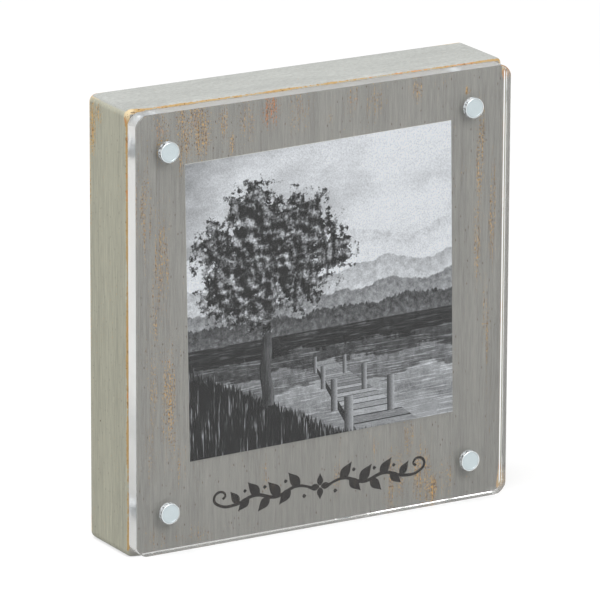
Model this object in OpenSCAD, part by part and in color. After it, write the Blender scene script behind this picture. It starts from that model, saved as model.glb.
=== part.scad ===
// Acrylic photo frame: a painted wooden block that stands on its own, a loose square print,
// and a clear cover plate that four pairs of magnets hold against the block.
// The origin is on the shelf, below the middle of the frame. The cover faces -Y.

/* [Block] */
// Width of the wooden block
block_w = 143.4; // [130:0.2:200]
// Depth of the block, from its front face to its back
block_d = 26; // [14:0.2:50]
// Height of the block
block_h = 152.4; // [140:0.2:220]
// Radius of the block's four corners, seen from the front
block_corner_r = 2; // [1:0.5:8]
// Radius of the sanded edges round the front and back faces, except along the underside
block_ease_r = 1; // [0.4:0.1:3]

/* [Cover] */
// Thickness of the clear cover plate
cover_t = 5.8; // [3:0.2:10]
// How far the cover's side edges lie in from the block's sides
cover_side_gap = 0.2; // [0:0.1:3]
// How far the cover's top edge lies below the block's top
cover_top_gap = 0.8; // [0:0.1:5]
// How far the cover's bottom edge clears the shelf
cover_foot_gap = 1.6; // [0.4:0.1:8]
// Radius of the cover's corners, seen from the front
cover_corner_r = 3.8; // [1:0.1:10]
// Width of the polished bevel round the cover's front and back faces
cover_bevel = 0.3; // [0.1:0.05:0.6]

/* [Print] */
// Width of the photographic print
print_w = 101.6; // [60:0.1:102]
// Height of the print
print_h = 101.6; // [60:0.1:102]
// Thickness of the print, which is also the gap behind the cover
print_t = 0.25; // [0.15:0.05:1]
// How far the print's middle lies above the cover's middle
print_rise = 5.8; // [0:0.2:8]
// How far the print's middle lies to the right of the cover's middle
print_drift = 0.3; // [-2:0.1:2]
// Angle in degrees by which the print lies askew, right side up
print_turn = 1; // [-2:0.1:2]

/* [Magnets] */
// Diameter of each magnet
magnet_d = 7; // [4:0.5:10]
// Distance from the cover's edges to the middle of its magnets
magnet_inset = 13.5; // [10:0.5:18]
// How far the four holes lie to the left of a centred pattern
magnet_drift = 0.8; // [0:0.1:1.5]
// Bevel round both ends of a magnet
magnet_bevel = 0.45; // [0.1:0.05:0.8]
// Length of the magnets that are sunk in the cover
cover_magnet_t = 3.2; // [1:0.1:6]
// Length of the magnets that are sunk in the block
block_magnet_t = 4; // [2:0.5:10]
// Gap between a magnet and the wall of its hole, filled with clear glue
magnet_clearance = 0.1; // [0.05:0.05:0.3]

/* [Hidden] */
$fn = 64;

// Left and right, bottom and top, as the viewer in front sees them
LEFT = -1;
RIGHT = 1;
BOTTOM = -1;
TOP = 1;

// Depths, from the cover's front face to the block's back
total_d = cover_t + print_t + block_d;
cover_y = -total_d / 2;
print_y = cover_y + cover_t;
block_y = print_y + print_t;

// The cover's edges follow the block's, each with its own gap
cover_w = block_w - 2 * cover_side_gap;
cover_h = block_h - cover_top_gap - cover_foot_gap;
cover_mid_z = cover_foot_gap + cover_h / 2;

// A corner is never rounder than its slab, nor an edge than its corner
block_round = min(block_corner_r, block_w / 2, block_h / 2);
block_ease = min(block_ease_r, block_round, block_d / 2);
cover_round = min(cover_corner_r, cover_w / 2, cover_h / 2);
cover_cut = min(cover_bevel, cover_round, cover_t / 2);

magnet_r = magnet_d / 2;
// A magnet in the cover is never longer than the plate is thick
cover_magnet_len = min(cover_magnet_t, cover_t);
magnet_cut = min(magnet_bevel, magnet_r, cover_magnet_len / 2, block_magnet_t / 2);
hole_r = magnet_r + magnet_clearance;
// Drills and saws start this far outside the face that they cut
overrun = cover_t / 4;

// Middle of a magnet across the frame, and its height above the shelf
function magnet_x(side) = side * (cover_w / 2 - magnet_inset) - magnet_drift;
function magnet_z(level) = cover_mid_z + level * (cover_h / 2 - magnet_inset);

// Rectangle about the origin with rounded corners
module round_rect(w, t, r) {
    square([w - 2 * r, t], center = true);
    square([w, t - 2 * r], center = true);
    for (x = [-1, 1], y = [-1, 1])
        translate([x * (w / 2 - r), y * (t / 2 - r)])
            circle(r = r);
}

// Rectangle about the origin with its corners cut off at 45 degrees
module cut_rect(w, t, c) {
    polygon([
        for (q = [[1, 1], [-1, 1], [-1, -1], [1, -1]])
            each q.x * q.y > 0
                ? [[q.x * w / 2, q.y * (t / 2 - c)], [q.x * (w / 2 - c), q.y * t / 2]]
                : [[q.x * (w / 2 - c), q.y * t / 2], [q.x * w / 2, q.y * (t / 2 - c)]]
    ]);
}

// Cross-section of a slab: rounded for sanded wood, cut for polished acrylic
module slab_section(w, t, edge, cut) {
    if (cut)
        cut_rect(w, t, edge);
    else
        round_rect(w, t, edge);
}

// Upright slab about the origin, w wide, t deep and h high, with corners of radius r
module slab(w, t, h, r, edge, cut = false) {
    linear_extrude(h - 2 * r, center = true)
        slab_section(w, t, edge, cut);
    rotate([0, 90, 0])
        linear_extrude(w - 2 * r, center = true)
            rotate(90)
                slab_section(t, h, edge, cut);
    for (x = [-1, 1], z = [-1, 1])
        translate([x * (w / 2 - r), 0, z * (h / 2 - r)])
            rotate([90, 0, 0])
                rotate_extrude()
                    intersection() {
                        slab_section(2 * r, t, edge, cut);
                        translate([0, -t / 2])
                            square([r, t]);
                    }
}

// Upright bore or disc along Y at one magnet's place, starting at depth y
module at_magnet(side, level, y) {
    translate([magnet_x(side), y, magnet_z(level)])
        rotate([-90, 0, 0])
            children();
}

// Nickel-plated disc with bevelled rims, standing on its flat end
module magnet(len) {
    rotate_extrude()
        polygon([
            [0, 0],
            [magnet_r - magnet_cut, 0],
            [magnet_r, magnet_cut],
            [magnet_r, len - magnet_cut],
            [magnet_r - magnet_cut, len],
            [0, len]
        ]);
}

module wood_block() {
    color([0.62, 0.62, 0.55])
        difference() {
            // The blank is longer by one eased edge, which is then sawn off flat to stand on
            translate([0, block_y + block_d / 2, (block_h - block_ease) / 2])
                slab(block_w, block_d, block_h + block_ease, block_round, block_ease);
            translate([-block_w / 2 - overrun, block_y - overrun, -block_ease - overrun])
                cube([block_w + 2 * overrun, block_d + 2 * overrun, block_ease + overrun]);
            // Blind pockets, each as deep as the magnet glued into it
            for (side = [LEFT, RIGHT], level = [BOTTOM, TOP])
                at_magnet(side, level, block_y - overrun)
                    cylinder(r = hole_r, h = block_magnet_t + overrun);
        }
}

module photo_print() {
    color([0.45, 0.45, 0.46])
        translate([print_drift, print_y + print_t / 2, cover_mid_z + print_rise])
            rotate([0, -print_turn, 0])
                cube([print_w, print_t, print_h], center = true);
}

module acrylic_cover() {
    color([0.88, 0.93, 0.96, 0.35])
        difference() {
            translate([0, cover_y + cover_t / 2, cover_mid_z])
                slab(cover_w, cover_t, cover_h, cover_round, cover_cut, cut = true);
            // Blind pockets in the front face, each as deep as the magnet glued into it
            for (side = [LEFT, RIGHT], level = [BOTTOM, TOP])
                at_magnet(side, level, cover_y - overrun)
                    cylinder(r = hole_r, h = cover_magnet_len + overrun);
        }
}

module cover_magnet(side, level) {
    color([0.8, 0.82, 0.83])
        at_magnet(side, level, cover_y)
            magnet(cover_magnet_len);
}

module block_magnet(side, level) {
    color([0.8, 0.82, 0.83])
        at_magnet(side, level, block_y)
            magnet(block_magnet_t);
}

wood_block();
photo_print();
acrylic_cover();
cover_magnet(LEFT, TOP);  // cover_magnet_top_left
cover_magnet(RIGHT, TOP);  // cover_magnet_top_right
cover_magnet(LEFT, BOTTOM);  // cover_magnet_bottom_left
cover_magnet(RIGHT, BOTTOM);  // cover_magnet_bottom_right
block_magnet(LEFT, TOP);  // block_magnet_top_left
block_magnet(RIGHT, TOP);  // block_magnet_top_right
block_magnet(LEFT, BOTTOM);  // block_magnet_bottom_left
block_magnet(RIGHT, BOTTOM);  // block_magnet_bottom_right
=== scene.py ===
import math

import bmesh
import bpy
from mathutils import Matrix, Vector


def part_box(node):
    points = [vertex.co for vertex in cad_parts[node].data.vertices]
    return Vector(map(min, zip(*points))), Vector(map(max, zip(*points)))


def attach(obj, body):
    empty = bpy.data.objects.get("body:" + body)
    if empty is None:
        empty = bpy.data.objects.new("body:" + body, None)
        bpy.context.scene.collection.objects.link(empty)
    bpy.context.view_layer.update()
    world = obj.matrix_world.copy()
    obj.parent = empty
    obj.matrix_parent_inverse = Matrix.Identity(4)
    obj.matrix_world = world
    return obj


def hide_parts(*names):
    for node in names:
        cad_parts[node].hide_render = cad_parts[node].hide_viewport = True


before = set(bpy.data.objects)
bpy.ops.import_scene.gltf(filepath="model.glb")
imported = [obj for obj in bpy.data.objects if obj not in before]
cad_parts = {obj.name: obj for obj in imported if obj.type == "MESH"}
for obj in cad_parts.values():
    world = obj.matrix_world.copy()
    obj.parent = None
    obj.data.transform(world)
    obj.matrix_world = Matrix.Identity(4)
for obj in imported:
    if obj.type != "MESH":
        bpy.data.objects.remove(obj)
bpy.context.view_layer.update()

# The view. A long lens from the front left and a little above, as product photographs are taken.
# It looks at the middle of the frame, and the picture is square.
LENS_MM = 396.3
TURN = math.radians(30.432)
DOWN = math.radians(16.275)
LEAN = math.radians(0.244)
AWAY = 2.19746
SEES_TO = 20.0
LOOK_AT = Vector((-0.000353, 0.000121, 0.075944))

swung = Matrix.Rotation(-TURN, 4, "Z") @ Matrix.Rotation(math.pi / 2 - DOWN, 4, "X")
sight = swung @ Matrix.Rotation(LEAN, 4, "Z")
bpy.ops.object.camera_add()
camera = bpy.context.object
camera.name = "photo_camera"
camera.matrix_world = Matrix.Translation(LOOK_AT + sight.col[2].to_3d() * AWAY) @ sight
camera.data.lens = LENS_MM
camera.data.clip_end = SEES_TO
bpy.context.scene.camera = camera
bpy.context.scene.view_settings.view_transform = "Standard"

# The shelf and the studio. A wide pale floor, one broad soft lamp overhead and to the left, and a
# softer one in front. Camera, mirror and glass rays see the white backdrop, and the floor keeps its shadow.
FLOOR_WIDTH = 4.0
FLOOR_ALBEDO = 0.42
FLOOR_GLOW = 0.66
SKY_LEVEL = 0.60
LAMPS = {
    "overhead_lamp": {"place": (-0.58, -0.22, 1.55), "width": 1.2, "watts": 16.5},
    "front_lamp": {"place": (0.15, -1.60, 1.00), "width": 0.9, "watts": 10.5},
}


def add(tree, kind, inputs=None, **settings):
    """A shader node of that kind. Each input takes a plain value or another node's output."""
    node = tree.nodes.new("ShaderNode" + kind)
    for name, value in settings.items():
        setattr(node, name, value)
    for name, value in (inputs or {}).items():
        feed(tree, node.inputs[name], value)
    return node


def feed(tree, socket, value):
    """Joins an output to this input, or writes the plain value on it."""
    if isinstance(value, bpy.types.NodeSocket):
        tree.links.new(value, socket)
    else:
        socket.default_value = value


def sums(tree, operation, *values, clamp=False):
    """A Math node's output."""
    return add(tree, "Math", dict(enumerate(values)), operation=operation, use_clamp=clamp).outputs[0]


def new_material(name):
    """A material with nothing in it but its output."""
    made = bpy.data.materials.new(name)
    made.use_nodes = True
    tree = made.node_tree
    tree.nodes.clear()
    return made, tree, tree.nodes.new("ShaderNodeOutputMaterial")


def seen_rays(tree):
    """1 for rays that show the backdrop: the camera's, a mirror's and those through glass."""
    path = add(tree, "LightPath").outputs
    either = sums(tree, "MAXIMUM", path["Is Camera Ray"], path["Is Glossy Ray"])
    return sums(tree, "MAXIMUM", either, path["Is Transmission Ray"])


bpy.ops.mesh.primitive_plane_add(size=FLOOR_WIDTH)
floor = bpy.context.object
floor.name = "pale_floor"
floor_paint, tree, out = new_material("pale_floor")
matte = add(tree, "BsdfDiffuse", {"Color": (FLOOR_ALBEDO,) * 3 + (1,)})
glow = add(tree, "Emission", {"Strength": sums(tree, "MULTIPLY", seen_rays(tree), FLOOR_GLOW)})
both = add(tree, "AddShader", {0: matte.outputs[0], 1: glow.outputs[0]})
feed(tree, out.inputs["Surface"], both.outputs[0])
floor_paint.cycles.emission_sampling = "NONE"
floor.data.materials.append(floor_paint)

sky = bpy.data.worlds.new("studio")
bpy.context.scene.world = sky
sky.use_nodes = True
tree = sky.node_tree
tree.nodes.clear()
level = add(tree, "MapRange", {"Value": seen_rays(tree), "To Min": SKY_LEVEL, "To Max": 1.0})
backdrop = add(tree, "Background", {"Strength": level.outputs[0]})
feed(tree, tree.nodes.new("ShaderNodeOutputWorld").inputs["Surface"], backdrop.outputs[0])

# Light that enters an edge of the cover is mirrored some twenty times before it comes out
BOUNCES_IN_ACRYLIC = 64
cycles = bpy.context.scene.cycles
cycles.max_bounces = cycles.glossy_bounces = cycles.transmission_bounces = BOUNCES_IN_ACRYLIC
cycles.transparent_max_bounces = BOUNCES_IN_ACRYLIC

for name, lamp in LAMPS.items():
    bpy.ops.object.light_add(type="AREA", location=lamp["place"])
    light = bpy.context.object
    light.name = name
    light.rotation_euler = (Vector(lamp["place"]) - LOOK_AT).to_track_quat("Z", "Y").to_euler()
    light.data.size = lamp["width"]
    light.data.energy = lamp["watts"]
    light.visible_camera = False

# The block. A piece of softwood with its grain upright, sawn off flat underneath, its other edges
# sanded round by hand. It's painted grey, brushed dry and rubbed through to the wood at the edges.
# Four blind pockets in its face hold magnets, and the paint runs on over them.
MM = 0.001
SAME_PLACE = 0.001 * MM
block_low, block_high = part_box("wood_block")
block_size = block_high - block_low
block_mid = (block_low + block_high) / 2
CORNER_R = 2.6 * MM
TOP_RIGHT_R = 2.0 * MM
CORNER_STEPS = 7
FRONT_EASE = 1.9 * MM
BACK_EASE = 1.6 * MM
EASE_STEPS = 5
POCKET_R = 3.6 * MM
DRILL_SIDES = 96
PAINT_T = 0.1 * MM
SAGE = (190, 189, 171)
FACE_GREY = (161, 159, 153)
TOP_GREY = (182, 184, 180)
# Pale bare wood, which also serves as a painted highlight on the worn rounded rims
CREAM_BARE_AND_HIGHLIGHT = (236, 218, 180)
GOLDEN = (194, 160, 108)
ORANGE = (212, 144, 88)
UMBER = (118, 92, 66)
FLECK_GOLD = (228, 184, 110)
FLECK_RED = (222, 142, 80)
FLECK_BROWN = (122, 92, 64)
PORE_BROWN = (104, 90, 76)


def rgb(red, green, blue):
    """A colour written as it looks on screen, turned into the linear values that a shader takes."""
    shares = [c / 255 for c in (red, green, blue)]
    return tuple(c / 12.92 if c <= 0.04045 else ((c + 0.055) / 1.055) ** 2.4 for c in shares) + (1,)


def alone(piece):
    """Selects this piece and nothing else, since an operator acts on all that is selected."""
    bpy.ops.object.select_all(action="DESELECT")
    piece.select_set(True)
    bpy.context.view_layer.objects.active = piece


def settle(piece):
    """Writes the piece's place, turn and size into its mesh, so that its object lies at the origin."""
    alone(piece)
    bpy.ops.object.transform_apply(location=True, rotation=True, scale=True)


def pick(piece, edges=None, faces=None):
    """In edit mode, selects the edges whose ends, or the faces whose middle and normal, pass the test."""
    mesh = bmesh.from_edit_mesh(piece.data)
    bpy.ops.mesh.select_all(action="DESELECT")
    for edge in mesh.edges if edges else ():
        if edges(edge.verts[0].co, edge.verts[1].co):
            edge.select_set(True)
    for face in mesh.faces if faces else ():
        if faces(face.calc_center_median(), face.normal):
            face.select_set(True)
    bmesh.update_edit_mesh(piece.data)


def slab(name, corner_low, corner_high):
    """A box from one corner to the other, with its place in its mesh."""
    bpy.ops.object.select_all(action="DESELECT")
    bpy.ops.mesh.primitive_cube_add(size=1, location=(corner_low + corner_high) / 2)
    made = bpy.context.object
    made.name = made.data.name = name
    made.scale = corner_high - corner_low
    settle(made)
    return made


def across(a, b):
    """True for an edge that runs from front to back."""
    return abs(a.x - b.x) < SAME_PLACE and abs(a.z - b.z) < SAME_PLACE


def top_right(point):
    """True for a point in the upper right quarter of the block."""
    return point.x > block_mid.x and point.z > block_mid.z


def at_depth(y, above=-math.inf):
    """A test for edges that lie at this depth and reach above this height."""
    def test(a, b):
        return abs(a.y - y) < SAME_PLACE and abs(b.y - y) < SAME_PLACE and max(a.z, b.z) > above
    return test


def bore(piece, centre, radius, reach):
    """Drills a round hole through the piece along Y, as far as reach each way from the centre."""
    bpy.ops.object.select_all(action="DESELECT")
    bpy.ops.mesh.primitive_cylinder_add(
        vertices=DRILL_SIDES, radius=radius, depth=2 * reach, location=centre, rotation=(math.pi / 2, 0, 0))
    drill = bpy.context.object
    settle(drill)
    alone(piece)
    cut = piece.modifiers.new("hole", "BOOLEAN")
    cut.operation = "DIFFERENCE"
    cut.solver = "EXACT"
    cut.object = drill
    bpy.ops.object.modifier_apply(modifier=cut.name)
    bpy.data.objects.remove(drill)


def even_shading(piece, degrees):
    """Smooth shading up to this angle, with the large faces left flat to their very edges."""
    alone(piece)
    bpy.ops.object.shade_smooth_by_angle(angle=math.radians(degrees))
    even = piece.modifiers.new("even_normals", "WEIGHTED_NORMAL")
    even.keep_sharp = True
    bpy.ops.object.modifier_apply(modifier=even.name)


block = slab("painted_block", block_low, block_high)
bpy.ops.object.mode_set(mode="EDIT")
for corner_r, is_top_right in ((TOP_RIGHT_R, True), (CORNER_R, False)):
    pick(block, edges=lambda a, b: across(a, b) and top_right(a) == is_top_right)
    bpy.ops.mesh.bevel(offset=corner_r, segments=CORNER_STEPS, profile=0.5)
for y, ease in ((block_low.y, FRONT_EASE), (block_high.y, BACK_EASE)):
    pick(block, edges=at_depth(y, above=block_low.z + SAME_PLACE))
    bpy.ops.mesh.bevel(offset=ease, segments=EASE_STEPS, profile=0.5)
bpy.ops.object.mode_set(mode="OBJECT")

stations = ("top_left", "top_right", "bottom_left", "bottom_right")
for station in stations:
    near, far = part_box("block_magnet_" + station)
    pocket = (near + far) / 2
    pocket.y += PAINT_T / 2
    bore(block, pocket, POCKET_R, (far.y - near.y - PAINT_T) / 2)

even_shading(block, 28)


def group(name, takes, gives):
    """An empty node group: takes has each input's kind and value, gives has each output's kind."""
    made = bpy.data.node_groups.new(name, "ShaderNodeTree")
    for label, (kind, value) in takes.items():
        socket = made.interface.new_socket(label, in_out="INPUT", socket_type="NodeSocket" + kind)
        socket.default_value = value
    for label, kind in gives.items():
        made.interface.new_socket(label, in_out="OUTPUT", socket_type="NodeSocket" + kind)
    return made, made.nodes.new("NodeGroupInput").outputs, made.nodes.new("NodeGroupOutput").inputs


def place(tree, made, **inputs):
    """A node group set into a tree, with its inputs filled in: Edge_Width means the input Edge Width."""
    node = add(tree, "Group", node_tree=made)
    for name, value in inputs.items():
        feed(tree, node.inputs[name.replace("_", " ")], value)
    return node.outputs


def smooth(tree, value, start, end):
    """0 at start and 1 at end, eased between; start may be the larger."""
    flip = isinstance(start, float) and isinstance(end, float) and start > end
    near, far = (end, start) if flip else (start, end)
    limits = {"Value": value, "From Min": near, "From Max": far}
    node = add(tree, "MapRange", limits, interpolation_type="SMOOTHSTEP")
    return sums(tree, "SUBTRACT", 1.0, node.outputs[0]) if flip else node.outputs[0]


def blend(tree, share, one, other, mode="MIX"):
    """Two colours mixed, by a share or a mask."""
    node = add(tree, "Mix", data_type="RGBA", blend_type=mode)
    for index, value in ((0, share), (6, one), (7, other)):
        feed(tree, node.inputs[index], value)
    return node.outputs[2]


def noise(tree, vector, scale, detail=3.0, roughness=0.5):
    """A Noise Texture's value."""
    inputs = {"Vector": vector, "Scale": scale, "Detail": detail, "Roughness": roughness}
    return add(tree, "TexNoise", inputs).outputs["Fac"]


def stretched(tree, vector, by, turn=(0, 0, 0)):
    """The position squeezed by these factors, so that a pattern on it is drawn out."""
    return add(tree, "Mapping", {"Vector": vector, "Scale": by, "Rotation": turn}).outputs[0]


# Distance to the nearest edge of a box, in metres: front and back rims, and the edges between them
edges_group, takes, gives = group(
    "distance_to_edges",
    {"Position": ("Vector", (0, 0, 0)), "Middle": ("Vector", (0, 0, 0)), "Half Size": ("Vector", (1, 1, 1))},
    {"Front": "Float", "Back": "Float", "Sides": "Float"})
from_middle = add(edges_group, "VectorMath", {0: takes["Position"], 1: takes["Middle"]}, operation="SUBTRACT")
outward = add(edges_group, "VectorMath", {0: from_middle.outputs[0]}, operation="ABSOLUTE")
inset = add(edges_group, "VectorMath", {0: takes["Half Size"], 1: outward.outputs[0]}, operation="SUBTRACT")
to_side = add(edges_group, "SeparateXYZ", {0: inset.outputs[0]}).outputs
signed = add(edges_group, "SeparateXYZ", {0: from_middle.outputs[0]}).outputs
half = add(edges_group, "SeparateXYZ", {0: takes["Half Size"]}).outputs
rim = sums(edges_group, "MINIMUM", to_side["X"], to_side["Z"])
for label, depth in (
        ("Front", sums(edges_group, "ADD", half["Y"], signed["Y"])),
        ("Back", sums(edges_group, "SUBTRACT", half["Y"], signed["Y"]))):
    feed(edges_group, gives[label], sums(edges_group, "MAXIMUM", depth, rim))
feed(edges_group, gives["Sides"], sums(edges_group, "MAXIMUM", to_side["X"], to_side["Z"]))

# Wood grain under thin paint: short fine marks, long lines and broad bands, as darker and lighter
# values about 1. The positions that it takes are drawn out beforehand along the grain, and the
# scales count marks to the metre.
FINE_MARKS = 2000.0
LONG_LINES = 950.0
BROAD_BANDS = 110.0
grain_group, takes, gives = group(
    "drawn_out_grain",
    {"Position": ("Vector", (0, 0, 0)), "Drawn Out": ("Vector", (0, 0, 0)), "Fine": ("Float", 1.3),
     "Long": ("Float", 0.3)},
    {"Tone": "Float", "Height": "Float"})
marks = noise(grain_group, takes["Position"], FINE_MARKS, 4.0, 0.7)
lines = noise(grain_group, takes["Drawn Out"], LONG_LINES, 3.0, 0.6)
bands = noise(grain_group, takes["Position"], BROAD_BANDS, 2.0, 0.5)
tone = sums(grain_group, "MULTIPLY_ADD", bands, 0.3, 0.85)
for pattern, weight in ((marks, "Fine"), (lines, "Long")):
    tone = sums(grain_group, "MULTIPLY_ADD", sums(grain_group, "SUBTRACT", pattern, 0.5), takes[weight], tone)
feed(grain_group, gives["Tone"], tone)
feed(grain_group, gives["Height"], sums(grain_group, "MULTIPLY_ADD", lines, 0.5, marks))

# Small dark pores: one to a cell at most, and only in some of the cells
pores_group, takes, gives = group(
    "pores",
    {"Position": ("Vector", (0, 0, 0)), "Spacing": ("Float", 0.004), "Size": ("Float", 0.1),
     "Share": ("Float", 0.4)},
    {"Mask": "Float"})
cells = add(pores_group, "TexVoronoi", {
    "Vector": takes["Position"], "Scale": sums(pores_group, "DIVIDE", 1.0, takes["Spacing"])})
chosen = add(pores_group, "SeparateColor", {0: cells.outputs["Color"]}).outputs
reach = sums(pores_group, "MULTIPLY", takes["Size"], sums(pores_group, "ADD", chosen[1], 0.35))
inside = add(pores_group, "MapRange", {
    "Value": cells.outputs["Distance"], "From Min": 0.0, "From Max": reach, "To Min": 1.0, "To Max": 0.0})
kept = sums(pores_group, "LESS_THAN", chosen[0], takes["Share"])
core = sums(pores_group, "MULTIPLY", inside.outputs[0], 2.0, clamp=True)
feed(pores_group, gives["Mask"], sums(pores_group, "MULTIPLY", core, kept))

# A patch of the face where the top coat is rubbed thin: an upright oval, soft at its border
patch_group, takes, gives = group(
    "rubbed_patch",
    {"Position": ("Vector", (0, 0, 0)), "Across": ("Float", 0.0), "Up": ("Float", 0.0),
     "Half Width": ("Float", 0.004), "Half Height": ("Float", 0.015)},
    {"Mask": "Float"})
spot = add(patch_group, "SeparateXYZ", {0: takes["Position"]}).outputs
off_x = sums(patch_group, "SUBTRACT", spot["X"], takes["Across"])
off_x = sums(patch_group, "DIVIDE", off_x, takes["Half Width"])
off_z = sums(patch_group, "SUBTRACT", spot["Z"], takes["Up"])
off_z = sums(patch_group, "DIVIDE", off_z, takes["Half Height"])
square = sums(patch_group, "MULTIPLY_ADD", off_x, off_x, sums(patch_group, "MULTIPLY", off_z, off_z))
falloff = sums(patch_group, "MULTIPLY", sums(patch_group, "POWER", square, 1.5), -0.7)
feed(patch_group, gives["Mask"], sums(patch_group, "POWER", math.e, falloff))

# Middle across, height, half width and half height of each rubbed patch on the face, in millimetres,
# and how far the coat is gone there
RUBBED_PATCHES = (
    (-60, 143, 3.9, 10, 0.9), (-52, 142, 3.2, 12, 1.1), (-46, 144, 5.2, 11, 1.15), (-37, 145, 2.1, 6, 1.1),
    (-34, 137, 1.3, 5, 1.4), (-28, 145, 3.9, 7, 0.8), (-19, 146, 3.6, 6, 1.2), (-8, 145, 4.2, 7, 0.8),
    (3, 141, 2.0, 5, 0.7), (12, 146, 2.6, 6, 0.8), (21, 144, 3.9, 6, 0.9), (37, 146, 2.6, 4, 1.1),
    (47, 148, 3.9, 4, 0.4), (-66, 118, 2.6, 17, 0.9), (-60, 100, 2.9, 19, 1.05), (-63, 72, 2.3, 22, 0.9),
    (-57, 52, 3.4, 19, 1.1), (-64, 38, 2.6, 14, 0.7), (-53, 30, 2.6, 7, 0.7), (62, 119, 1.9, 18, 1.15),
    (61, 92, 1.7, 17, 1.05), (67, 100, 1.4, 22, 0.9), (65, 62, 1.8, 14, 0.9), (66, 36, 1.3, 11, 0.5),
    (-21, 21, 1.8, 7, 0.7), (7, 17, 1.6, 6, 0.8), (22, 24, 1.6, 5, 0.7), (30, 14, 3.9, 10, 1.0),
    (35, 26, 2.1, 7, 1.1), (40, 12, 4.2, 11, 1.1), (44, 6, 3.4, 6, 1.3), (50, 9, 2.9, 7, 0.9),
    (28, 6, 2.6, 5, 0.8), (-48, 5, 6.5, 4, 0.6), (-62, 5, 5.2, 4, 0.6), (56.6, 143.3, 0.9, 1.7, 1.6),
)
# The same for the side that shows, where the first number is the patch's depth
SIDE_PATCHES = (
    (12.8, 142, 2.2, 10, 1.35), (9.0, 147, 3.0, 4, 1.1), (14.6, 122, 0.9, 16, 1.0), (14.8, 84, 0.7, 20, 0.8),
    (-6.0, 60, 1.0, 14, 0.4),
)
# The patch of the face where the wood is redder
REDDER_PATCH = ((-19, 147, 6, 9, 1.0),)
# Places on the block's outline that are rubbed further. Side, depth and height count from its middle,
# with 1 at its face. Then come the place's reach and how much wider the worn rim is there, in millimetres.
WORN_PLACES = (
    (-1, -1, 1, 8, 0.8), (1, -1, 0.95, 4.5, 1.5), (-1, -1, -1, 5, 0.3), (1, -1, -1, 15, 1.5),
    (-1, 1, 1, 17, 1.0), (-1, 1, 0.732, 17, 1.0), (1, 1, 1, 20, 1.3), (-1, 1, -1, 14, 1.1),
    (1, 1, -1, 10, 1.0),
)
# Width of the worn rim in millimetres, before the places above widen it, and half of its soft border
RIM_WIDTHS = {"Front": 0.68, "Back": 0.5, "Sides": -0.25}
RIM_SOFTNESS = 0.15
# Contrast of the fine brush marks, and how much less they have on the face. Then that of the long
# ones, what the face and the sides add to it, and the share of it that is lost near the foot.
FINE_CONTRAST = 0.95
FINE_LESS_ON_FACE = 0.05
LONG_CONTRAST = 0.25
LONG_MORE_ON_FACE = 0.3
LONG_MORE_ON_SIDES = 0.08
LOST_NEAR_FOOT = 0.35
# Flecks to the metre and rows of them, and how the two are weighed against each other
FLECKS = 3400.0
FLECK_LINES = 1200.0
FLECK_WEIGHT = 0.66
LINE_WEIGHT = 0.34
# A fleck shows above this level on sound paint. In a patch the level is lower by this much times how
# far the coat is gone, which counts up to the last of these three.
SOUND_LEVEL = 0.6555
RUBBED_DROP = 0.127
MOST_RUBBED = 1.35
# How far patterns are drawn out: the smaller a factor, the longer the marks along that axis
UPRIGHT_SHORT = (1.0, 1.0, 0.055)
UPRIGHT_LONG = (1.0, 1.0, 0.025)
LEVEL_SHORT = (0.3, 0.8, 1.0)
LEVEL_LONG = (0.05, 0.6, 1.0)
FLECK_SHAPE = (1.0, 1.0, 0.5)
FLECK_ROWS = (1.0, 1.0, 0.04)
PORE_SHAPE = (1.0, 1.0, 0.4)


def patches_on(tree, position, patches):
    """The strongest of these rubbed patches at each point."""
    strongest = 0.0
    for across_mm, up_mm, half_w, half_h, gone in patches:
        patch = place(
            tree, patch_group, Position=position, Across=across_mm * MM, Up=up_mm * MM,
            Half_Width=half_w * MM, Half_Height=half_h * MM)["Mask"]
        strongest = sums(tree, "MAXIMUM", sums(tree, "MULTIPLY", patch, gone), strongest)
    return strongest


wood_paint, tree, out = new_material("brushed_grey_paint")
coordinates = add(tree, "TexCoord").outputs
spot = coordinates["Object"]
where = add(tree, "SeparateXYZ", {0: spot}).outputs
facing = add(tree, "SeparateXYZ", {0: coordinates["Normal"]}).outputs
level_face = smooth(tree, sums(tree, "ABSOLUTE", facing["Z"]), 0.55, 0.8)
front_face = smooth(tree, sums(tree, "MULTIPLY", facing["Y"], -1.0), 0.6, 0.95)
end_face = smooth(tree, sums(tree, "ABSOLUTE", facing["X"]), 0.6, 0.95)

# Brush marks run upright on the faces and lengthwise on the top, and they stand out most on the front
short = blend(tree, level_face, stretched(tree, spot, UPRIGHT_SHORT), stretched(tree, spot, LEVEL_SHORT))
drawn = blend(
    tree, level_face, stretched(tree, spot, UPRIGHT_LONG),
    stretched(tree, spot, LEVEL_LONG, (0, 0, math.radians(4))))
near_foot = smooth(tree, where["Z"], 50 * MM, 20 * MM)
fine = sums(tree, "MULTIPLY_ADD", front_face, -FINE_LESS_ON_FACE, FINE_CONTRAST)
long = sums(tree, "MULTIPLY_ADD", end_face, LONG_MORE_ON_SIDES, LONG_CONTRAST)
long = sums(tree, "MULTIPLY_ADD", front_face, LONG_MORE_ON_FACE, long)
long = sums(tree, "MULTIPLY", long, sums(tree, "MULTIPLY_ADD", near_foot, -LOST_NEAR_FOOT, 1.0))
grain = place(tree, grain_group, Position=short, Drawn_Out=drawn, Fine=fine, Long=long)
tone = grain["Tone"]
paint = blend(tree, level_face, blend(tree, front_face, rgb(*SAGE), rgb(*FACE_GREY)), rgb(*TOP_GREY))
coat = blend(tree, 1.0, paint, add(tree, "CombineColor", {0: tone, 1: tone, 2: tone}).outputs[0], "MULTIPLY")

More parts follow.
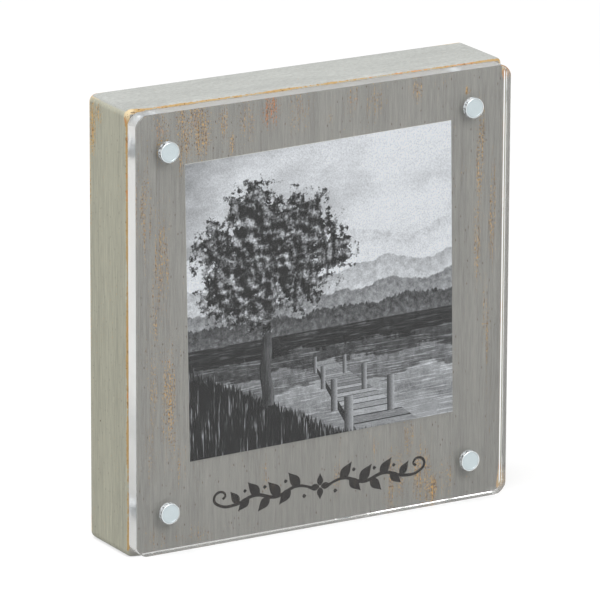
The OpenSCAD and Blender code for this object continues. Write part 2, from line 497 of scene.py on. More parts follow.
# Rubbed patches: tiny flecks of bare wood that stand in upright rows
side_spot = add(tree, "CombineXYZ", {0: where["Y"], 1: 0.0, 2: where["Z"]}).outputs[0]
patches = sums(
    tree, "ADD", sums(tree, "MULTIPLY", patches_on(tree, spot, RUBBED_PATCHES), front_face),
    sums(tree, "MULTIPLY", patches_on(tree, side_spot, SIDE_PATCHES), end_face))
flecks = noise(tree, stretched(tree, spot, FLECK_SHAPE), FLECKS, 2.0, 0.6)
fleck_lines = noise(tree, stretched(tree, spot, FLECK_ROWS), FLECK_LINES, 2.0, 0.5)
flecks = sums(tree, "MULTIPLY_ADD", flecks, FLECK_WEIGHT, sums(tree, "MULTIPLY", fleck_lines, LINE_WEIGHT))
threshold = sums(tree, "MULTIPLY_ADD", sums(tree, "MINIMUM", patches, MOST_RUBBED), -RUBBED_DROP, SOUND_LEVEL)
rubbed = smooth(tree, sums(tree, "SUBTRACT", flecks, threshold), 0.0, 0.018)

# Worn rims: widest at the corners and down the left edge, thin along the top, and next to none down
# the right edge and along the sawn underside
distance = place(tree, edges_group, Position=spot, Middle=block_mid, Half_Size=block_size / 2)
extra = 0.0
for side, depth, height, reach_mm, wider_mm in WORN_PLACES:
    centre = block_mid + Vector((side * block_size.x, depth * block_size.y, height * block_size.z)) / 2
    gap = add(tree, "VectorMath", {0: spot, 1: centre}, operation="DISTANCE").outputs[1]
    near_place = smooth(tree, gap, reach_mm * MM, 0.1 * reach_mm * MM)
    extra = sums(tree, "MAXIMUM", sums(tree, "MULTIPLY", near_place, wider_mm * MM), extra)
rightward = smooth(tree, where["X"], -30 * MM, 60 * MM)
at_top = smooth(tree, where["Z"], block_high.z - 3.4 * MM, block_high.z - 0.9 * MM)
at_right = smooth(tree, where["X"], block_high.x - 3.2 * MM, block_high.x - 1.2 * MM)
at_left = smooth(tree, where["X"], block_low.x + 1.4 * MM, block_low.x + 0.4 * MM)
at_foot = smooth(tree, where["Z"], 3.5 * MM, 1.5 * MM)
bias = sums(tree, "MULTIPLY", at_top, sums(tree, "MULTIPLY_ADD", rightward, 0.04 * MM, 0.1 * MM))
for border, wider_mm in ((at_left, 0.22), (at_right, -0.1), (at_foot, -0.6)):
    bias = sums(tree, "MULTIPLY_ADD", border, wider_mm * MM, bias)
ragged = noise(tree, spot, 1100.0, 4.0, 0.65)
uneven = noise(tree, spot, 55.0, 2.0)
jitter = sums(tree, "MULTIPLY_ADD", ragged, 1.0 * MM, sums(tree, "MULTIPLY_ADD", uneven, 1.2 * MM, -1.1 * MM))
reach = sums(tree, "ADD", jitter, sums(tree, "ADD", bias, extra))
wear = 0.0
for rim, width in RIM_WIDTHS.items():
    past = sums(tree, "SUBTRACT", distance[rim], reach)
    worn = smooth(tree, past, (width + RIM_SOFTNESS) * MM, (width - RIM_SOFTNESS) * MM)
    wear = sums(tree, "MAXIMUM", worn, wear)

# The wood that shows: golden and orange, pale cream where it is bare, and umber in its hollows. The cream at
# the worn corners and along the back rims is also a painted highlight, for the light that these rounded edges
# catch.
warm = noise(tree, spot, 150.0, 3.0)
orange_share = smooth(tree, sums(tree, "MULTIPLY_ADD", rightward, 0.12, warm), 0.60, 0.70)
# Where the cream goes: bare wood at the worn corners and along the back rims, partly a painted highlight on
# those rounded edges
bare_and_highlight = sums(
    tree, "MAXIMUM", smooth(tree, extra, 0.35 * MM, 0.75 * MM),
    smooth(tree, distance["Back"], 1.6 * MM, 0.9 * MM))
edge_colour = blend(tree, sums(tree, "MULTIPLY", bare_and_highlight, 0.8), rgb(*GOLDEN), rgb(*CREAM_BARE_AND_HIGHLIGHT))
edge_colour = blend(tree, sums(tree, "MULTIPLY", orange_share, 0.75), edge_colour, rgb(*ORANGE))
edge_colour = blend(tree, smooth(tree, ragged, 0.60, 0.66), edge_colour, rgb(*UMBER))
redder = sums(
    tree, "MULTIPLY_ADD", smooth(tree, warm, 0.60, 0.70), 0.5, patches_on(tree, spot, REDDER_PATCH),
    clamp=True)
fleck_colour = blend(tree, redder, rgb(*FLECK_GOLD), rgb(*FLECK_RED))
fleck_kind = noise(tree, stretched(tree, spot, FLECK_SHAPE), 1900.0, 2.0, 0.6)
fleck_kind = sums(tree, "MULTIPLY_ADD", end_face, -0.06, fleck_kind)
fleck_colour = blend(tree, smooth(tree, fleck_kind, 0.46, 0.53), fleck_colour, rgb(*FLECK_BROWN))

# Fine pores all over, and a few pin holes in the sides
pores = place(
    tree, pores_group, Position=stretched(tree, spot, PORE_SHAPE), Spacing=0.001, Size=0.16,
    Share=sums(tree, "MULTIPLY_ADD", patches, 0.3, 0.58))
dark_pores = sums(tree, "MULTIPLY", pores["Mask"], sums(tree, "MULTIPLY_ADD", front_face, 0.5, 0.5))
pin_holes = place(tree, pores_group, Position=spot, Spacing=0.009, Size=0.035, Share=0.35)
dark_pores = sums(tree, "MAXIMUM", dark_pores, sums(tree, "MULTIPLY", pin_holes["Mask"], end_face))
colour = blend(tree, dark_pores, coat, rgb(*PORE_BROWN))
colour = blend(tree, rubbed, colour, fleck_colour)
colour = blend(tree, wear, colour, edge_colour)

relief = sums(tree, "MULTIPLY_ADD", rubbed, -0.4, grain["Height"])
relief = sums(tree, "MULTIPLY_ADD", pores["Mask"], -0.8, relief)
bump = add(tree, "Bump", {"Strength": 0.35, "Distance": 0.12 * MM, "Height": relief})
dull = add(tree, "MapRange", {"Value": grain["Height"], "From Min": 0.5, "To Min": 0.52, "To Max": 0.72})
skin = add(tree, "BsdfPrincipled", {
    "Base Color": colour, "Roughness": sums(tree, "MULTIPLY_ADD", wear, 0.15, dull.outputs[0]),
    "Specular IOR Level": 0.3, "Normal": bump.outputs[0]})
feed(tree, out.inputs["Surface"], skin.outputs[0])
block.data.materials.clear()
block.data.materials.append(wood_paint)
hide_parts("wood_block")
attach(block, "block")

# The print. A square black-and-white photograph on semi-gloss paper, laid loose and a little askew
# behind the cover. Its picture is a country view: a tree on a bank, a jetty, a lake and hills in mist.
PRINT_TURN = math.radians(1.0)
print_low, print_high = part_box("photo_print")
print_mid = (print_low + print_high) / 2
print_box = print_high.x - print_low.x
print_side = print_box / (math.cos(PRINT_TURN) + math.sin(PRINT_TURN))
PAPER = (238, 237, 232)
PAPER_FIBRE = (212, 210, 202)
COLD_TONE = (0.94, 0.965, 1.0, 1)
DARKEST = (0.006, 0.006, 0.006, 1)

print_paper, tree, out = new_material("photographic_paper")
coordinates = add(tree, "TexCoord").outputs
centred = add(tree, "VectorMath", {0: coordinates["Object"], 1: print_mid}, operation="SUBTRACT").outputs[0]
turned = stretched(tree, centred, (1 / print_side,) * 3, (0, PRINT_TURN, 0))
sheet = add(tree, "SeparateXYZ", {0: turned}).outputs
across_sheet, up_sheet = sheet["X"], sheet["Z"]


def mixed(tree, share, one, other):
    """Two plain numbers mixed, by a share or a mask."""
    return add(tree, "Mix", {0: share, 2: one, 3: other}, data_type="FLOAT").outputs[0]


def ramp(tree, value, start, end, low_end, high_end):
    """A straight change from one number to another as the value runs from start to end."""
    limits = {"Value": value, "From Min": start, "From Max": end, "To Min": low_end, "To Max": high_end}
    return add(tree, "MapRange", limits).outputs[0]


def row(tree, across, seed):
    """A position that changes only across the picture, with its own seed."""
    return add(tree, "CombineXYZ", {0: across, 1: seed, 2: 0.0}).outputs[0]


# Sky, hills and lake. Places in the picture are shares of its side, counted from its middle.
SHORE = -0.13
ripple = noise(tree, stretched(tree, turned, (6.0, 1.0, 90.0)), 1.0, 3.0)
wobble = sums(tree, "MULTIPLY_ADD", ripple, 0.05, -0.025)
mirrored = sums(tree, "ADD", sums(tree, "SUBTRACT", 2 * SHORE, up_sheet), wobble)
water = sums(tree, "LESS_THAN", up_sheet, SHORE)
seen_up = mixed(tree, water, up_sheet, mirrored)
view_point = add(tree, "CombineXYZ", {0: across_sheet, 1: 0.0, 2: seen_up}).outputs[0]
clouds = noise(tree, stretched(tree, view_point, (2.4, 1.0, 5.0)), 1.0, 6.0, 0.6)
air = ramp(tree, across_sheet, -0.5, 0.35, 0.62, 0.92)
tone = sums(tree, "MULTIPLY_ADD", clouds, 1.2, sums(tree, "SUBTRACT", air, 0.6))
# Each ridge's height, how much it rises and falls, how many hills it has, how rough its trees are, its tone
RIDGES = (
    (0.17, 0.26, 2.3, 0.004, 0.78), (0.07, 0.20, 3.3, 0.008, 0.62), (-0.02, 0.16, 4.3, 0.020, 0.42),
    (-0.08, 0.10, 5.5, 0.040, 0.22),
)
for index, (rise, swing, hills, trees, dark) in enumerate(RIDGES):
    along = row(tree, across_sheet, 3.7 * index + 1.3)
    top = sums(tree, "MULTIPLY_ADD", noise(tree, along, hills, 4.0, 0.55), swing, rise - swing / 2)
    top = sums(tree, "MULTIPLY_ADD", noise(tree, along, 95.0, 2.0, 0.7), trees, top)
    depth = sums(tree, "SUBTRACT", top, seen_up)
    haze = ramp(tree, depth, 0.0, 0.14, 0.0, 0.22)
    woods = noise(tree, view_point, 30.0 + 8.0 * index, 6.0, 0.72)
    hill_tone = sums(tree, "MULTIPLY_ADD", woods, 0.8, sums(tree, "ADD", haze, dark - 0.40))
    tone = mixed(tree, smooth(tree, depth, 0.0, 0.006), tone, hill_tone)
glints = smooth(tree, noise(tree, stretched(tree, turned, (9.0, 1.0, 220.0)), 1.0, 2.0), 0.52, 0.68)
lake_tone = sums(tree, "MULTIPLY_ADD", glints, 0.22, sums(tree, "MULTIPLY_ADD", tone, 0.70, -0.12))
tone = mixed(tree, water, tone, lake_tone)

# The jetty runs to a point on the skyline, so its planks lie evenly in one over the height below that
VANISH = -0.10
DECK = (0.62, 1.26)
BEAM = 0.07
FAR_END = 9.0
PLANKS = 4.2
SEAM = 0.13
# How far off each post stands, and how far aside, in units of the jetty's own perspective
POSTS = ((2.9, 0.58), (4.0, 0.58), (5.6, 0.58), (7.8, 0.58), (3.6, 1.30), (5.0, 1.30), (7.0, 1.30))
POST_HALF_WIDTH = 0.05
POST_MIDDLE = 0.06
POST_HALF_HEIGHT = 0.22
below = sums(tree, "MAXIMUM", sums(tree, "SUBTRACT", SHORE, up_sheet), 0.001)
away = sums(tree, "DIVIDE", 1.0, below)
aside = sums(tree, "MULTIPLY", sums(tree, "SUBTRACT", across_sheet, VANISH), away)
near_enough = sums(tree, "LESS_THAN", away, FAR_END)
inside_right = sums(tree, "MULTIPLY", sums(tree, "LESS_THAN", aside, DECK[1]), near_enough)
on_deck = sums(tree, "MULTIPLY", sums(tree, "GREATER_THAN", aside, DECK[0]), inside_right)
on_beam = sums(tree, "MULTIPLY", sums(tree, "GREATER_THAN", aside, DECK[0] - BEAM), inside_right)
plank = sums(tree, "MULTIPLY", away, PLANKS)
number = sums(tree, "FLOOR", plank)
seam = sums(tree, "LESS_THAN", sums(tree, "FRACT", plank), SEAM)
own_tone = add(tree, "TexWhiteNoise", {"W": number}, noise_dimensions="1D").outputs["Value"]
deck_spot = add(tree, "CombineXYZ", {
    0: sums(tree, "MULTIPLY", aside, 3.0), 1: number, 2: sums(tree, "MULTIPLY", plank, 9.0)}).outputs[0]
weathered = noise(tree, deck_spot, 2.0, 4.0, 0.7)
deck_tone = sums(tree, "MULTIPLY_ADD", own_tone, 0.22, sums(tree, "MULTIPLY_ADD", weathered, 0.9, -0.04))
deck_tone = mixed(tree, seam, deck_tone, 0.10)
tone = mixed(tree, on_beam, tone, 0.13)
tone = mixed(tree, on_deck, tone, deck_tone)
for post_away, post_aside in POSTS:
    half_width = POST_HALF_WIDTH / post_away
    foot = SHORE - 1.0 / post_away
    beside = sums(tree, "SUBTRACT", across_sheet, VANISH + post_aside / post_away)
    over = sums(tree, "SUBTRACT", up_sheet, foot + POST_MIDDLE / post_away)
    post = sums(
        tree, "MULTIPLY", sums(tree, "LESS_THAN", sums(tree, "ABSOLUTE", beside), half_width),
        sums(tree, "LESS_THAN", sums(tree, "ABSOLUTE", over), POST_HALF_HEIGHT / post_away))
    lit = ramp(tree, beside, -half_width, half_width, 0.16, 0.62)
    tone = mixed(tree, post, tone, lit)

# The near bank at the left, with long grass, and the tree that stands on it
TREE_AT = -0.24
TRUNK_FOOT = -0.36
TRUNK_TOP = 0.12
bank_line = noise(tree, row(tree, across_sheet, 40.0), 2.2, 3.0)
blades = noise(tree, stretched(tree, turned, (130.0, 1.0, 9.0), (0, math.radians(6), 0)), 1.0, 3.0, 0.7)
fall = ramp(tree, across_sheet, -0.5, 0.12, -0.24, -0.56)
grass_line = sums(tree, "MULTIPLY_ADD", blades, 0.14, sums(tree, "SUBTRACT", fall, 0.07))
bank_top = sums(tree, "MULTIPLY_ADD", bank_line, 0.10, grass_line)
bank = smooth(tree, sums(tree, "SUBTRACT", bank_top, up_sheet), 0.0, 0.01)
bank_tone = sums(tree, "MULTIPLY", smooth(tree, blades, 0.52, 0.68), 0.55)
tone = mixed(tree, bank, tone, bank_tone)
sway = noise(tree, stretched(tree, turned, (0.0, 0.0, 5.0)), 1.0, 1.0)
bend = sums(tree, "MULTIPLY_ADD", sway, 0.06, TREE_AT)
girth = ramp(tree, up_sheet, -0.42, 0.1, 0.028, 0.013)
beside = sums(tree, "SUBTRACT", across_sheet, bend)
trunk = smooth(tree, sums(tree, "SUBTRACT", girth, sums(tree, "ABSOLUTE", beside)), 0.0, 0.004)
above_foot = sums(tree, "GREATER_THAN", up_sheet, TRUNK_FOOT)
below_top = sums(tree, "LESS_THAN", up_sheet, TRUNK_TOP)
trunk = sums(tree, "MULTIPLY", trunk, sums(tree, "MULTIPLY", above_foot, below_top))
bark = noise(tree, stretched(tree, turned, (110.0, 1.0, 14.0)), 1.0, 3.0, 0.7)
bark_tone = sums(tree, "MULTIPLY_ADD", bark, 0.55, ramp(tree, beside, -0.02, 0.02, -0.18, 0.05))
tone = mixed(tree, trunk, tone, bark_tone)

# Its crown: leaves in clumps that are lit from the upper right. Each clump has its place and reach.
CROWNS = (
    (-0.20, 0.15, 0.19), (-0.07, 0.22, 0.13), (-0.32, 0.06, 0.14), (-0.09, 0.06, 0.12), (-0.25, 0.30, 0.11),
    (0.04, 0.13, 0.09), (-0.38, 0.20, 0.10), (-0.23, -0.02, 0.09),
)
leafage = noise(tree, turned, 26.0, 7.0, 0.75)
crown = None
for across_share, up_share, reach_share in CROWNS:
    place_share = (across_share, 0.0, up_share)
    gap = add(tree, "VectorMath", {0: turned, 1: place_share}, operation="DISTANCE").outputs[1]
    inside = sums(tree, "SUBTRACT", reach_share, gap)
    crown = inside if crown is None else sums(tree, "MAXIMUM", crown, inside)
leaves = smooth(tree, sums(tree, "ADD", crown, sums(tree, "MULTIPLY_ADD", leafage, 0.40, -0.21)), 0.0, 0.010)
lit_side = add(tree, "VectorMath", {0: turned, 1: (-0.010, 0.0, -0.014)}, operation="ADD").outputs[0]
shaded = noise(tree, turned, 17.0, 6.0, 0.7)
slope = sums(tree, "SUBTRACT", shaded, noise(tree, lit_side, 17.0, 6.0, 0.7))
leaf_tone = sums(tree, "MULTIPLY_ADD", slope, 3.4, sums(tree, "MULTIPLY_ADD", leafage, 0.5, -0.06))
tone = mixed(tree, leaves, tone, sums(tree, "MAXIMUM", leaf_tone, 0.0))

# Film grain, and the tones of the paper
clumps = noise(tree, turned, 230.0, 2.0, 0.8)
curve = sums(tree, "POWER", smooth(tree, tone, -0.07, 1.0), 1.6)
graininess = ramp(tree, tone, 0.0, 0.35, 0.5, 1.2)
curve = sums(tree, "MULTIPLY", curve, sums(
    tree, "MULTIPLY_ADD", sums(tree, "SUBTRACT", clumps, 0.5), graininess, 1.02))
picture = add(tree, "CombineColor", {0: curve, 1: curve, 2: curve}).outputs[0]
picture = blend(tree, 1.0, picture, COLD_TONE, "MULTIPLY")
picture = blend(tree, 1.0, picture, DARKEST, "ADD")
facing = add(tree, "SeparateXYZ", {0: coordinates["Normal"]}).outputs
front = sums(tree, "LESS_THAN", facing["Y"], -0.9)
paper_fibre = noise(tree, turned, 300.0, 3.0)
plain = blend(tree, sums(tree, "MULTIPLY", paper_fibre, 0.15), rgb(*PAPER), rgb(*PAPER_FIBRE))
sheet_colour = blend(tree, front, plain, picture)
bump = add(tree, "Bump", {"Strength": 0.12, "Distance": 0.02 * MM, "Height": clumps})
shine = add(tree, "MapRange", {"Value": front, "To Min": 0.6, "To Max": 0.32}).outputs[0]
skin = add(tree, "BsdfPrincipled", {
    "Base Color": sheet_colour, "Roughness": shine, "Specular IOR Level": 0.12, "Normal": bump.outputs[0]})
feed(tree, out.inputs["Surface"], skin.outputs[0])
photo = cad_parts["photo_print"]
photo.data.materials.clear()
photo.data.materials.append(print_paper)

# The ornament. A sprig of leaves with a curl at each end, printed on the painted face below the
# picture in dark ink, a few hundredths of a millimetre thick.
SPRIG_MID = Vector((0.4 * MM, 0, 14.2 * MM))
INK_T = 0.04 * MM
STEM_W = 1.1 * MM
STALK_W = 0.6 * MM
INK = (24, 20, 18)
THIN_INK = (96, 84, 74)
# Before they are pressed flat, leaves are this thick
RAW_T = 0.7 * MM


def flat_stroke(name, points, width, taper):
    """A curved stroke of ink through the points, each across and up from the sprig's middle, in mm."""
    line = bpy.data.curves.new(name, "CURVE")
    line.dimensions = "3D"
    line.resolution_u = 16
    line.bevel_depth = width / 2
    line.bevel_resolution = 2
    line.use_fill_caps = True
    path = line.splines.new("BEZIER")
    path.bezier_points.add(len(points) - 1)
    for index, (point, (x, z)) in enumerate(zip(path.bezier_points, points)):
        point.co = (x * MM, 0, z * MM)
        point.handle_left_type = point.handle_right_type = "AUTO"
        point.radius = taper[index]
    made = bpy.data.objects.new(name, line)
    bpy.context.scene.collection.objects.link(made)
    alone(made)
    bpy.ops.object.convert(target="MESH")
    return bpy.context.object


def toward(angle, far):
    """How far across and up a point lies at this angle in degrees and this far off."""
    return far * math.cos(math.radians(angle)), far * math.sin(math.radians(angle))


def leaf(x, z, length, width, angle):
    """One pointed leaf from its foot, in mm: a disc drawn out, its far end pulled to a tip."""
    bpy.ops.object.select_all(action="DESELECT")
    bpy.ops.mesh.primitive_cylinder_add(
        vertices=LEAF_SIDES, radius=0.5, depth=1.0, rotation=(math.pi / 2, 0, 0))
    made = bpy.context.object
    settle(made)
    for vert in made.data.vertices:
        along = vert.co.x + 0.5
        vert.co.z *= (0.35 + 0.65 * math.sin(math.pi * min(along * 0.92 + 0.06, 1.0))) * (1.35 - along)
    made.scale = (length * MM, RAW_T, width * MM)
    made.rotation_euler = (0, -math.radians(angle), 0)
    to_right, upward = toward(angle, length / 2)
    made.location = Vector((x + to_right, 0, z + upward)) * MM
    settle(made)
    return made


# One half of the sprig, in mm from its middle: the points of its stem, and how thick it is at each
STEM = (
    (2.6, 0.0), (9.0, 1.5), (17.0, -0.9), (25.0, 0.9), (32.5, -1.2), (38.2, -0.8), (40.7, 1.9), (38.6, 4.1),
    (36.4, 2.6), (37.4, 1.4),
)
STEM_TAPER = (0.7, 1.0, 1.1, 1.1, 1.0, 0.9, 0.9, 0.8, 0.7, 0.9)
# Foot, length, width and angle of each leaf
LEAVES = (
    (8.0, 1.3, 6.944, 4.08, 52), (11.5, 0.9, 6.496, 3.84, -48), (15.5, -0.7, 7.168, 4.2, 50),
    (19.6, -0.5, 6.272, 3.72, -46), (23.5, 0.7, 6.72, 3.96, 50), (27.4, 0.4, 5.824, 3.48, -44),
    (31.2, -0.9, 5.6, 3.24, 54),
)
LEAF_SIDES = 28
STALK_LENGTH = 0.8
# Middle and radius of each berry, and the length, width and offset of the four petals in the middle
BERRIES = ((6.0, -2.4, 0.8), (13.2, 3.9, 0.75), (21.2, 3.2, 0.75), (28.8, 3.0, 0.7))
PETAL_LENGTH = 4.3
PETAL_WIDTH = 2.6
PETAL_OFF = 0.3
strokes = []
for side in (-1, 1):
    strokes.append(flat_stroke("stem", [(side * x, z) for x, z in STEM], STEM_W, STEM_TAPER))
    for x, z, length, width, angle in LEAVES:
        strokes.append(leaf(side * x, z, length, width, angle if side > 0 else 180 - angle))
        tail = (side * (x - STALK_LENGTH), 0.9 * z)
        strokes.append(flat_stroke("stalk", [tail, (side * x, z)], STALK_W, (1, 1)))
    for x, z, radius in BERRIES:
        strokes.append(leaf(side * x - radius, z, 2 * radius, 2 * radius, 0))
for angle in (0, 90, 180, 270):
    strokes.append(leaf(*toward(angle, PETAL_OFF), PETAL_LENGTH, PETAL_WIDTH, angle))

bpy.ops.object.select_all(action="DESELECT")
for stroke in strokes:
    stroke.select_set(True)
bpy.context.view_layer.objects.active = strokes[0]
bpy.ops.object.join()
sprig = bpy.context.object
sprig.name = sprig.data.name = "printed_sprig"
thick = max(abs(v.co.y) for v in sprig.data.vertices)
for vert in sprig.data.vertices:
    vert.co.y = block_low.y - INK_T * (0.5 + 0.49 * vert.co.y / thick)
    vert.co.x += SPRIG_MID.x
    vert.co.z += SPRIG_MID.z
sprig.data.update()

ink, tree, out = new_material("dark_ink")
spot = add(tree, "TexCoord").outputs["Object"]
grain = place(
    tree, grain_group, Position=stretched(tree, spot, (1.0, 1.0, 0.13)),
    Drawn_Out=stretched(tree, spot, UPRIGHT_LONG))
thin = smooth(tree, grain["Tone"], 1.05, 1.2)
colour = blend(tree, sums(tree, "MULTIPLY", thin, 0.5), rgb(*INK), rgb(*THIN_INK))
bump = add(tree, "Bump", {"Strength": 0.2, "Distance": 0.1 * MM, "Height": grain["Height"]})
dull = add(tree, "MapRange", {"Value": thin, "To Min": 0.5, "To Max": 0.7})
skin = add(tree, "BsdfPrincipled", {
    "Base Color": colour, "Roughness": dull.outputs[0], "Specular IOR Level": 0.2,
    "Normal": bump.outputs[0]})
feed(tree, out.inputs["Surface"], skin.outputs[0])
sprig.data.materials.clear()
sprig.data.materials.append(ink)
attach(sprig, "block")

# The cover. A plate of clear cast acrylic with rounded corners, its edges polished to a narrow
# bevel, and four blind pockets in its front, which the magnets fill with a film of clear glue round them.
cover_low, cover_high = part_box("acrylic_cover")
COVER_CORNER_R = 3.8 * MM
CORNER_FULLNESS = 0.42
COVER_CORNER_STEPS = 16
COVER_BEVEL = 0.38 * MM
GLUED_R = 3.49 * MM
GLUE_T = 0.01 * MM
AIR_FILM = 0.02 * MM
# The bevel behind the foot is scraped a little wider, and it catches the light as a thin line
FOOT_SCRAPE = 0.12 * MM
# Roughness of the left and top edges, of the right and bottom ones, of the bevels and of the scraped one
SANDED = 0.30
POLISHED = 0.05
BEVELLED = 0.6
SCRAPED = 0.28
ACRYLIC_IOR = 1.49
CLEAR = (0.99, 0.994, 0.996, 1)
FAINT_MIRROR = (0.4, 0.4, 0.4, 1)
SHADOW_TINT = (0.93, 0.935, 0.94, 1)
DEPTH_TINT = (0.35, 0.34, 0.26, 1)
DEPTH_DENSITY = 1.8
cover_high.y -= AIR_FILM

cover = slab("clear_cover", cover_low, cover_high)
bpy.ops.object.mode_set(mode="EDIT")
pick(cover, edges=across)
bpy.ops.mesh.bevel(offset=COVER_CORNER_R, segments=COVER_CORNER_STEPS, profile=CORNER_FULLNESS)
for y in (cover_low.y, cover_high.y):
    pick(cover, edges=at_depth(y))
    bpy.ops.mesh.bevel(offset=COVER_BEVEL, segments=1)
bpy.ops.object.mode_set(mode="OBJECT")
for vert in cover.data.vertices:
    if abs(vert.co.y - cover_high.y) < SAME_PLACE:
        vert.co.z -= FOOT_SCRAPE * max(0.0, 1 - (vert.co.z - cover_low.z) / COVER_CORNER_R)
for station in stations:
    near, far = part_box("cover_magnet_" + station)
    mouth = (near + far) / 2
    mouth.y = near.y
    bore(cover, mouth, GLUED_R, far.y - near.y - GLUE_T)
even_shading(cover, 20)

acrylic, tree, out = new_material("clear_acrylic")
spot = add(tree, "TexCoord").outputs["Object"]
swirl = noise(tree, spot, 60.0, 2.0)
saw_marks = noise(tree, stretched(tree, spot, (1.0, 0.15, 1.0)), 900.0, 2.0)
polish = sums(tree, "MULTIPLY_ADD", saw_marks, 0.3, swirl)
bump = add(tree, "Bump", {"Strength": 0.06, "Distance": 0.05 * MM, "Height": polish})
facing = add(tree, "SeparateXYZ", {0: add(tree, "TexCoord").outputs["Normal"]}).outputs
tilt = sums(tree, "ABSOLUTE", facing["Y"])
on_edge = sums(tree, "LESS_THAN", tilt, 0.3)
on_bevel = sums(tree, "COMPARE", facing["Y"], 0.62, 0.32)
scraped = smooth(tree, facing["Z"], -0.3, -0.6)
down_right = smooth(tree, sums(tree, "SUBTRACT", facing["X"], facing["Z"]), -0.6, 0.6)
edge_finish = sums(tree, "MULTIPLY_ADD", down_right, POLISHED - SANDED, SANDED)
bevel_finish = sums(tree, "MULTIPLY_ADD", scraped, SCRAPED - BEVELLED, BEVELLED)
bevel_finish = sums(tree, "MULTIPLY", on_bevel, bevel_finish)
finish = sums(tree, "MULTIPLY_ADD", on_edge, edge_finish, bevel_finish)
clear = add(tree, "BsdfPrincipled", {
    "Base Color": CLEAR, "Roughness": finish, "IOR": ACRYLIC_IOR, "Transmission Weight": 1.0,
    "Specular Tint": FAINT_MIRROR, "Normal": bump.outputs[0]})
lit_through = add(tree, "BsdfTransparent", {"Color": SHADOW_TINT})
path = add(tree, "LightPath").outputs
for ray in ("Is Shadow Ray", "Is Diffuse Ray"):
    clear = add(tree, "MixShader", {0: path[ray], 1: clear.outputs[0], 2: lit_through.outputs[0]})
feed(tree, out.inputs["Surface"], clear.outputs[0])
body = add(tree, "VolumeAbsorption", {"Color": DEPTH_TINT, "Density": DEPTH_DENSITY})
feed(tree, out.inputs["Volume"], body.outputs[0])
cover.data.materials.clear()
cover.data.materials.append(acrylic)
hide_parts("acrylic_cover")
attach(cover, "cover")

# The magnets. Nickel-plated discs with rounded rims and turned faces. One set is glued flush into the
# front of the cover, and the other into the block, straight behind them and under its paint.
MAGNET_R = 3.5 * MM
MAGNET_SIDES = 64
RIM_R = 0.45 * MM
RIM_STEPS = 4
# The turned front: a flat rim, a groove inside it, then rings with a fine line between each two
FLAT_RIM = 0.18 * MM
GROOVE_W = 0.10 * MM
GROOVE_DEEP = 0.07 * MM
RINGS = 6
RING_W = 0.38 * MM
LINE_W = 0.05 * MM
LINE_DEEP = 0.012 * MM
PLATE_DARK = (190, 202, 205)
PLATE_LIGHT = (206, 215, 218)
RING_GREY = (150, 162, 166)
# Painted shade for the groove inside the rim of each magnet's face
GROOVE_SHADE_GREY = (140, 150, 154)
RIM_HIGHLIGHT = (222, 229, 231)
# A painted highlight for the rounded rim of each magnet's face
PIT_GREY = (120, 126, 128)
# A painted reflection for the side wall of each magnet, which has dark notches in it
WALL_REFLECTION = (238, 243, 246)
WALL_DARK = (70, 74, 78)


def make_magnet(name, near, far):
    """A disc between the two corners of its box, its front facing -Y."""
    length = far.y - near.y
    bpy.ops.object.select_all(action="DESELECT")
    bpy.ops.mesh.primitive_cylinder_add(
        vertices=MAGNET_SIDES, radius=MAGNET_R, depth=length, location=(near + far) / 2,
        rotation=(math.pi / 2, 0, 0))
    made = bpy.context.object
    made.name = made.data.name = name
    settle(made)
    bpy.ops.object.mode_set(mode="EDIT")
    for y in (near.y, far.y):
        pick(made, edges=at_depth(y))
        bpy.ops.mesh.bevel(offset=RIM_R, segments=RIM_STEPS, profile=0.5)
    pick(made, faces=lambda middle, normal: normal.y < -0.99)
    bpy.ops.mesh.inset(thickness=FLAT_RIM, depth=0)
    bpy.ops.mesh.inset(thickness=GROOVE_W, depth=-GROOVE_DEEP)
    for ring in range(RINGS):
        bpy.ops.mesh.inset(thickness=RING_W, depth=GROOVE_DEEP if ring == 0 else 0.0)
        bpy.ops.mesh.inset(thickness=LINE_W, depth=-LINE_DEEP)
        bpy.ops.mesh.inset(thickness=LINE_W, depth=LINE_DEEP)
    bpy.ops.object.mode_set(mode="OBJECT")
    bpy.ops.object.shade_smooth_by_angle(angle=math.radians(40))
    from_axis = made.data.attributes.new("from_axis", "FLOAT", "POINT")
    middle = (near + far) / 2
    for vert in made.data.vertices:
        from_axis.data[vert.index].value = math.hypot(vert.co.x - middle.x, vert.co.z - middle.z) / MAGNET_R
    return made


def copy_of(piece, name, shift):
    """The same piece again with a mesh of its own, moved by this much."""
    made = piece.copy()
    made.data = piece.data.copy()
    made.name = made.data.name = name
    made.data.transform(Matrix.Translation(shift))
    bpy.context.scene.collection.objects.link(made)
    return made


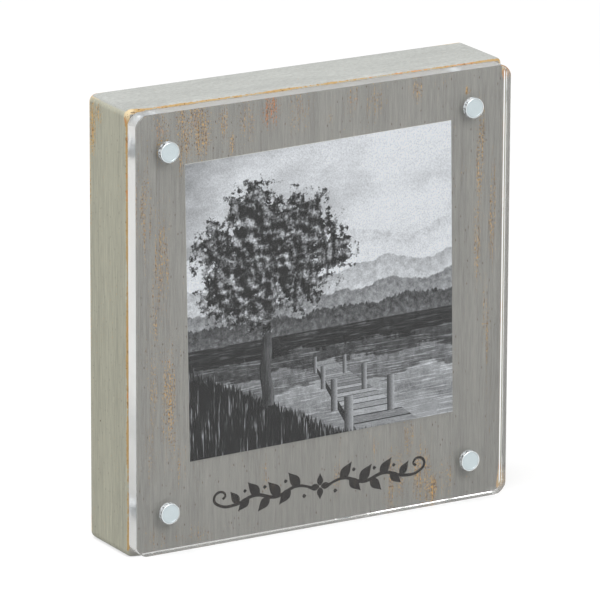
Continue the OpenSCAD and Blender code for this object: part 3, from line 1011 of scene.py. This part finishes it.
nickel, tree, out = new_material("nickel_plate")
coordinates = add(tree, "TexCoord").outputs
spot = coordinates["Object"]
pits = place(tree, pores_group, Position=spot, Spacing=0.0011, Size=0.14, Share=0.16)
mottle = noise(tree, spot, 700.0, 3.0)
plating = blend(tree, mottle, rgb(*PLATE_DARK), rgb(*PLATE_LIGHT))
turned_out = add(tree, "Attribute", attribute_name="from_axis").outputs["Fac"]
rings = sums(tree, "SINE", sums(tree, "MULTIPLY", turned_out, 30.0))
plating = blend(tree, sums(tree, "MULTIPLY_ADD", rings, 0.09, 0.09), plating, rgb(*RING_GREY))
# Painted shade: the ring of the groove is darkened a little
groove_shade = sums(tree, "COMPARE", turned_out, 0.85, 0.045)
plating = blend(tree, sums(tree, "MULTIPLY", groove_shade, 0.2), plating, rgb(*GROOVE_SHADE_GREY))
# Painted highlight: the outer rim of the face is painted lighter, where the rounded rim catches the light
rim = sums(tree, "GREATER_THAN", turned_out, 0.9)
plating = blend(tree, rim, plating, rgb(*RIM_HIGHLIGHT))
plating = blend(tree, sums(tree, "MULTIPLY", pits["Mask"], 0.7), plating, rgb(*PIT_GREY))
# The side wall is made not metallic: it is painted nearly white as a painted reflection of the bright
# surroundings, with dark notches in it
wall = sums(tree, "GREATER_THAN", turned_out, 0.985)
notches = smooth(tree, noise(tree, stretched(tree, spot, (1.0, 0.45, 1.0)), 1300.0, 2.0, 0.6), 0.50, 0.55)
wall_reflection_and_notches = blend(tree, sums(tree, "MULTIPLY", notches, 0.9), rgb(*WALL_REFLECTION), rgb(*WALL_DARK))
plating = blend(tree, wall, plating, wall_reflection_and_notches)
rough = add(tree, "MapRange", {"Value": mottle, "To Min": 0.3, "To Max": 0.44}).outputs[0]
bump = add(tree, "Bump", {
    "Strength": 0.3, "Distance": 0.05 * MM, "Height": sums(tree, "MULTIPLY_ADD", pits["Mask"], -1.0, mottle)})
skin = add(tree, "BsdfPrincipled", {
    "Base Color": plating, "Metallic": sums(tree, "SUBTRACT", 1.0, wall), "Roughness": rough,
    "Normal": bump.outputs[0]})
feed(tree, out.inputs["Surface"], skin.outputs[0])

# The first magnet of each set is made, and the other three are copies of it
for prefix, body, painted_over in (
        ("cover_magnet_", "cover", 0.0), ("block_magnet_", "block", 1.5 * PAINT_T)):
    first_near, first_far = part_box(prefix + stations[0])
    front = first_near + Vector((0, painted_over, 0))
    magnets = [make_magnet("nickel_" + prefix + stations[0], front, first_far)]
    magnets[0].data.materials.clear()
    magnets[0].data.materials.append(nickel)
    for station in stations[1:]:
        near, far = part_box(prefix + station)
        magnets.append(copy_of(magnets[0], "nickel_" + prefix + station, near - first_near))
    for magnet, station in zip(magnets, stations):
        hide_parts(prefix + station)
        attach(magnet, body)
